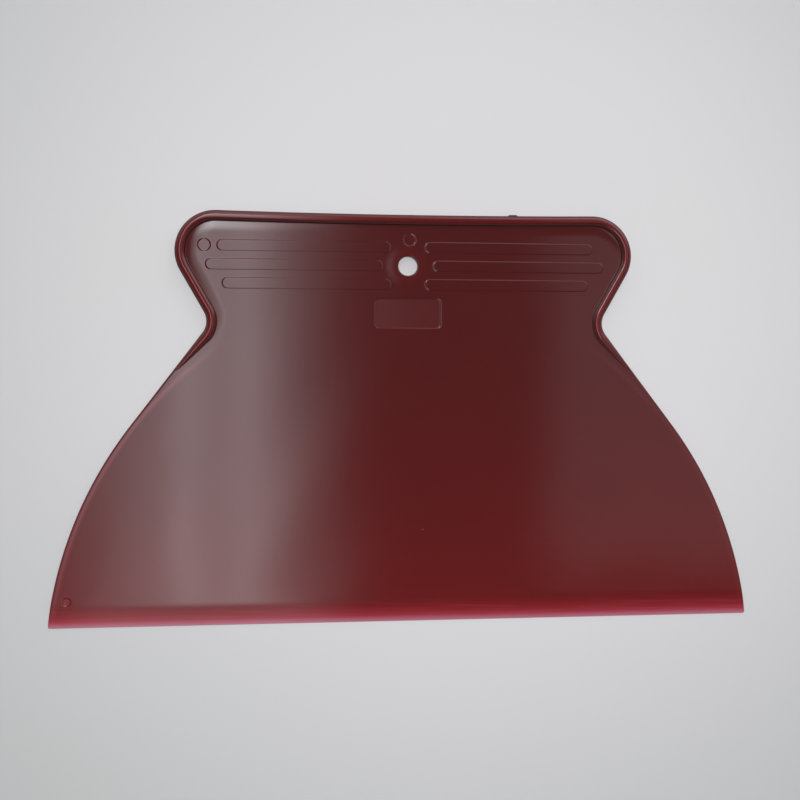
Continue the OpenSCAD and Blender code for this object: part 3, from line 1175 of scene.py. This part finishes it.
# %% The table top's finish
OWN_LIGHT = 0.52
LIT_SHARE = 0.53
WARM_GREY = (0.760, 0.754, 0.743, 1)
COOL_GREY = (0.771, 0.748, 0.775, 1)
FAR_SHADE_GREY = (0.36, 0.385, 0.37, 1)
CRUMB_GREY, CRUMB_SHARE = (0.45, 0.43, 0.42, 1), 0.10
BLACK = (0, 0, 0, 1)
POOL_AT = (0.022, 0.126, 0)
POOL_FROM, POOL_TO, POOL_FADE = 0.07, 0.33, 0.66

laminate = bpy.data.materials.new("pale_laminate")
laminate.use_nodes = True
tree = laminate.node_tree
shader = tree.nodes["Principled BSDF"]
place = add(tree, "ShaderNodeTexCoord").outputs["Object"]
cloud = use_group(tree, clouds, {"Vector": place, "Size": 0.10, "Strength": 1.6})["Cloud"]
tone = blend(tree, sums(tree, "ADD", cloud, NOISE_MIDDLE), WARM_GREY, COOL_GREY)

# painted light: a pool of light is painted into the table's colour, fading from a spot under the
# grip to painted shade towards the corners
from_pool = add(tree, "ShaderNodeVectorMath", {0: place, 1: POOL_AT}, operation="DISTANCE")
dim = graded(tree, from_pool.outputs["Value"], POOL_FROM, POOL_TO, high=POOL_FADE)
tone = blend(tree, dim, tone, FAR_SHADE_GREY)
speck = use_group(tree, specks, {"Vector": place, "Spacing": 0.03, "Size": 0.0004,
                                 "Share": 0.25})["Speck"]
tone = lay_over(tree, speck, CRUMB_SHARE, tone, CRUMB_GREY)
tree.links.new(blend(tree, LIT_SHARE, BLACK, tone), shader.inputs["Base Color"])

rays = add(tree, "ShaderNodeLightPath").outputs
seen = sums(tree, "MAXIMUM", rays["Is Camera Ray"], rays["Is Glossy Ray"])
seen = sums(tree, "MAXIMUM", seen, rays["Is Transmission Ray"])
tree.links.new(blend(tree, seen, BLACK, tone), shader.inputs["Emission Color"])
shader.inputs["Emission Strength"].default_value = OWN_LIGHT
shader.inputs["Roughness"].default_value = 0.6
shader.inputs["Specular IOR Level"].default_value = 0.2
top_mesh.materials.append(laminate)
print("the table's finish takes", len(tree.nodes), "nodes")

# %% [markdown]
# ## Light
#
# A glossy sheet shows the room above it. The photograph has two long bright bands down the
# left third of the blade, a dark middle and fainter glows at both sides, so that is what hangs
# over the table: soft panels on a dark ceiling. The room is drawn as seen from the table. A
# direction is written as the place where it meets a ceiling one metre up, U to the right and V
# to the back, and a panel is a soft-edged rectangle there. The walls are bright at the back and
# dim in front, and their foot is evenly pale all round, so that no side view has a dark
# background. One wide lamp at the back on the right adds a very soft shadow.

# %% One soft panel, as a node group
panel, given, result = new_group(
    "ceiling_panel",
    {"U": 0, "V": 0, "Middle U": 0, "Middle V": 0, "Half U": 0.1, "Half V": 0.1,
     "Soft U": 0.05, "Soft V": 0.1},
    ["Panel"],
)
masks = []
for axis in "UV":
    apart = sums(panel, "ABSOLUTE", sums(panel, "SUBTRACT", given[axis], given["Middle " + axis]))
    outer = sums(panel, "ADD", given["Half " + axis], given["Soft " + axis])
    inner = sums(panel, "SUBTRACT", given["Half " + axis], given["Soft " + axis])
    masks.append(graded(panel, apart, outer, inner))
panel.links.new(sums(panel, "MULTIPLY", *masks), result.inputs["Panel"])
print("group", panel.name)

# %% What is in the room
CEILING_LIGHT = 0.13
BACK_WALL, FRONT_WALL, WALL_FOOT = 1.65, 0.20, 0.45
TINT = (0.985, 1.0, 1.045)
# parts of a direction: where the front wall ends and the back wall begins, along Y, and where
# the foot passes into the wall and the wall into the ceiling, along Z
FRONT_TO_BACK = (0.1, 0.7)
FOOT_TO_WALL = (0.05, 0.50)
WALL_TO_CEILING = (0.45, 0.72)
LEAST_UP = 0.05
PANEL_SHAPE = ("Middle U", "Middle V", "Half U", "Half V", "Soft U", "Soft V")
PANELS = {
    # brightness, then middle and half size along U and V, then softness along U and V
    "left glow": (2.4, -0.184, 0.06, 0.112, 0.46, 0.110, 0.09),
    "left lamp": (1.4, -0.182, 0.06, 0.016, 0.42, 0.016, 0.09),
    "right lamp": (2.4, -0.110, 0.06, 0.010, 0.42, 0.062, 0.09),
    "lamp's fringe": (0.55, -0.080, 0.06, 0.070, 0.46, 0.095, 0.09),
    "back window": (6.0, -0.21, 0.42, 0.09, 0.13, 0.08, 0.08),
    "back glow": (1.10, -0.17, 1.10, 0.15, 0.70, 0.05, 0.15),
    "right glow": (0.46, 0.60, 0.00, 0.33, 0.245, 0.040, 0.055),
    "front glow": (0.95, -0.185, -0.58, 0.170, 0.16, 0.050, 0.09),
}
print(len(PANELS), "panels")

# %% The room
world = bpy.data.worlds.new("pale_room")
bpy.context.scene.world = world
world.use_nodes = True
tree = world.node_tree
direction = add(tree, "ShaderNodeTexCoord").outputs["Generated"]
split = add(tree, "ShaderNodeSeparateXYZ", {"Vector": direction}).outputs
up = sums(tree, "MAXIMUM", split["Z"], LEAST_UP)
across = sums(tree, "DIVIDE", split["X"], up)
along = sums(tree, "DIVIDE", split["Y"], up)
walls = graded(tree, split["Y"], *FRONT_TO_BACK, FRONT_WALL, BACK_WALL)
walls = mixed(tree, graded(tree, split["Z"], *FOOT_TO_WALL), WALL_FOOT, walls)
light = mixed(tree, graded(tree, split["Z"], *WALL_TO_CEILING), walls, CEILING_LIGHT)
for bright, *shape in PANELS.values():
    inputs = {"U": across, "V": along, **dict(zip(PANEL_SHAPE, shape))}
    light = sums(tree, "MULTIPLY_ADD", use_group(tree, panel, inputs)["Panel"], bright, light)
tinted = add(tree, "ShaderNodeVectorMath", {0: TINT, "Scale": light}, operation="SCALE")
tree.links.new(tinted.outputs["Vector"], tree.nodes["Background"].inputs["Color"])
print("the room takes", len(tree.nodes), "nodes")

# %% A wide soft lamp at the back on the right
LAMP_SIDE = 2.4
LAMP_WATTS = 18.0
LAMP_AT = (1.5, 1.9, 1.5)

lamp_data = bpy.data.lights.new("wide_lamp", "AREA")
lamp_data.shape = "RECTANGLE"
lamp_data.size = lamp_data.size_y = LAMP_SIDE
lamp_data.energy = LAMP_WATTS
wide_lamp = bpy.data.objects.new("wide_lamp", lamp_data)
wide_lamp.location = LAMP_AT
wide_lamp.rotation_euler = (-wide_lamp.location).to_track_quat("-Z", "Y").to_euler()
bpy.context.scene.collection.objects.link(wide_lamp)
print("lamp", round(wide_lamp.location.length, 2), "m from the tool")

# %% [markdown]
# ## Camera
#
# The camera's place was worked out from the outline in the photograph: the known shape of the
# tool against where its edge lies in the picture. It looks down from about 0.3 m above the
# tool, a little from the left. Its place is in the drawing's millimetres, and its turns about
# X, Y and Z are in degrees.

# %% Camera
lens_mm = 36.0
sensor_mm = 36.0
camera_at = Vector((-28.46, 89.17, 318.75))
camera_turn = (0.14104, 4.54004, 0.06836)

camera_data = bpy.data.cameras.new("camera")
camera_data.lens = lens_mm
camera_data.sensor_width = sensor_mm
camera_data.clip_start = 0.01
camera = bpy.data.objects.new("camera", camera_data)
about_x, about_y, about_z = (math.radians(a) for a in camera_turn)
looks = (
    Matrix.Rotation(about_z, 3, "Z")
    @ Matrix.Rotation(about_y, 3, "Y")
    @ Matrix.Rotation(about_x, 3, "X")
).transposed()
lying = Matrix.Rotation(rest_a, 3, "X") @ looks
camera.matrix_world = Matrix.Translation(lay_down @ camera_at) @ lying.to_4x4()
bpy.context.scene.collection.objects.link(camera)
bpy.context.scene.camera = camera
bpy.context.scene.view_settings.view_transform = "Standard"
print("camera at", [round(c, 4) for c in camera.matrix_world.translation])
